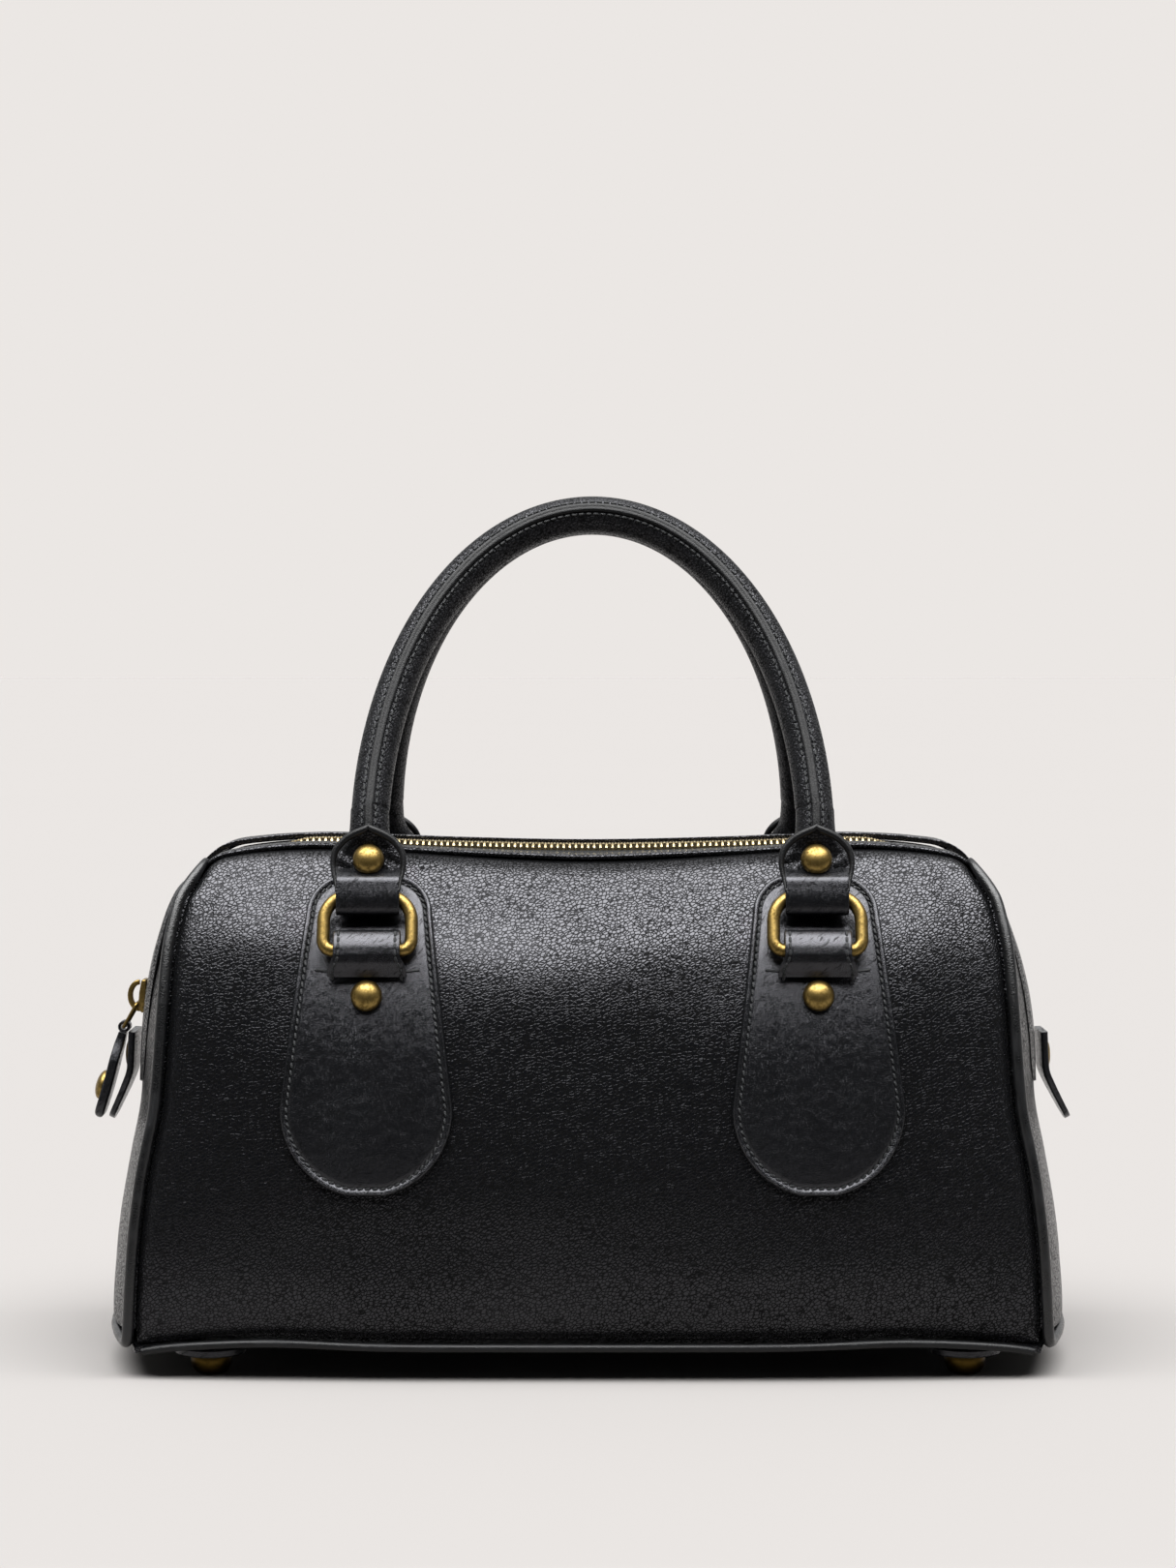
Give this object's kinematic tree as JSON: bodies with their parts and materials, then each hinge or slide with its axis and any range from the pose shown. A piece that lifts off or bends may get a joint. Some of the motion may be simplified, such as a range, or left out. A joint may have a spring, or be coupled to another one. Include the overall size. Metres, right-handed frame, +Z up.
{
  "type": "satchel handbag",
  "caption": "Zip-top leather satchel with leaning sides, corded seams, rolled handles on brass rings and dome feet; the handles swing down on their rings.",
  "frame": {"origin": "on the floor, under the middle of the bag", "axes": "+X along the bag to the right in the picture, -Y towards the front with the camera, +Z up"},
  "size_m": [0.3466, 0.1574, 0.299],
  "materials": {
    "leather_pebbled": "pebbled, semi-gloss",
    "leather_smooth": "smooth, semi-gloss",
    "brass_aged": "aged, satin",
    "zip_teeth": "polished",
    "zip_cloth": "woven tape"
  },
  "bodies": {
    "bag": {"front_panel": "leather_pebbled", "back_panel": "leather_pebbled", "left_gusset": "leather_pebbled", "right_gusset": "leather_pebbled", "base_panel": "leather_pebbled", "zip_band_front": "leather_pebbled", "zip_band_back": "leather_pebbled", "end_piping_left": "leather_smooth", "end_piping_right": "leather_smooth", "base_piping_front": "leather_smooth", "base_piping_back": "leather_smooth", "end_tab_left": "leather_smooth", "end_tab_right": "leather_smooth", "pull_strap": "leather_smooth", "patch_front_left": "leather_smooth", "patch_front_right": "leather_smooth", "patch_back_left": "leather_smooth", "patch_back_right": "leather_smooth", "ring_loop_front_left": "leather_smooth", "ring_loop_front_right": "leather_smooth", "ring_loop_back_left": "leather_smooth", "ring_loop_back_right": "leather_smooth", "foot_washer_front_left": "leather_smooth", "foot_washer_front_right": "leather_smooth", "foot_washer_back_left": "leather_smooth", "foot_washer_back_right": "leather_smooth", "zip_slider": "brass_aged", "pull_ring": "brass_aged", "pull_stud": "brass_aged", "end_tab_stud_left": "brass_aged", "end_tab_stud_right": "brass_aged", "patch_stud_front_left": "brass_aged", "patch_stud_front_right": "brass_aged", "patch_stud_back_left": "brass_aged", "patch_stud_back_right": "brass_aged", "foot_front_left": "brass_aged", "foot_front_right": "brass_aged", "foot_back_left": "brass_aged", "foot_back_right": "brass_aged", "zip_chain": "zip_teeth", "zip_tape_front": "zip_cloth", "zip_tape_back": "zip_cloth"},
    "front_handle": {"handle_front": "leather_pebbled", "ring_front_left": "brass_aged", "ring_front_right": "brass_aged", "handle_stud_front_left": "brass_aged", "handle_stud_front_right": "brass_aged"},
    "back_handle": {"handle_back": "leather_pebbled", "ring_back_left": "brass_aged", "ring_back_right": "brass_aged", "handle_stud_back_left": "brass_aged", "handle_stud_back_right": "brass_aged"}
  },
  "joints": [
    {"name": "front_handle_swing", "type": "hinge", "parent": "bag", "child": "front_handle", "pos_m": [0.0015, -0.06749, 0.14473], "axis": [1, 0, 0], "range_deg": [0, 160]},
    {"name": "back_handle_swing", "type": "hinge", "parent": "bag", "child": "back_handle", "pos_m": [0.0015, 0.06749, 0.14473], "axis": [-1, 0, 0], "range_deg": [0, 160]}
  ]
}
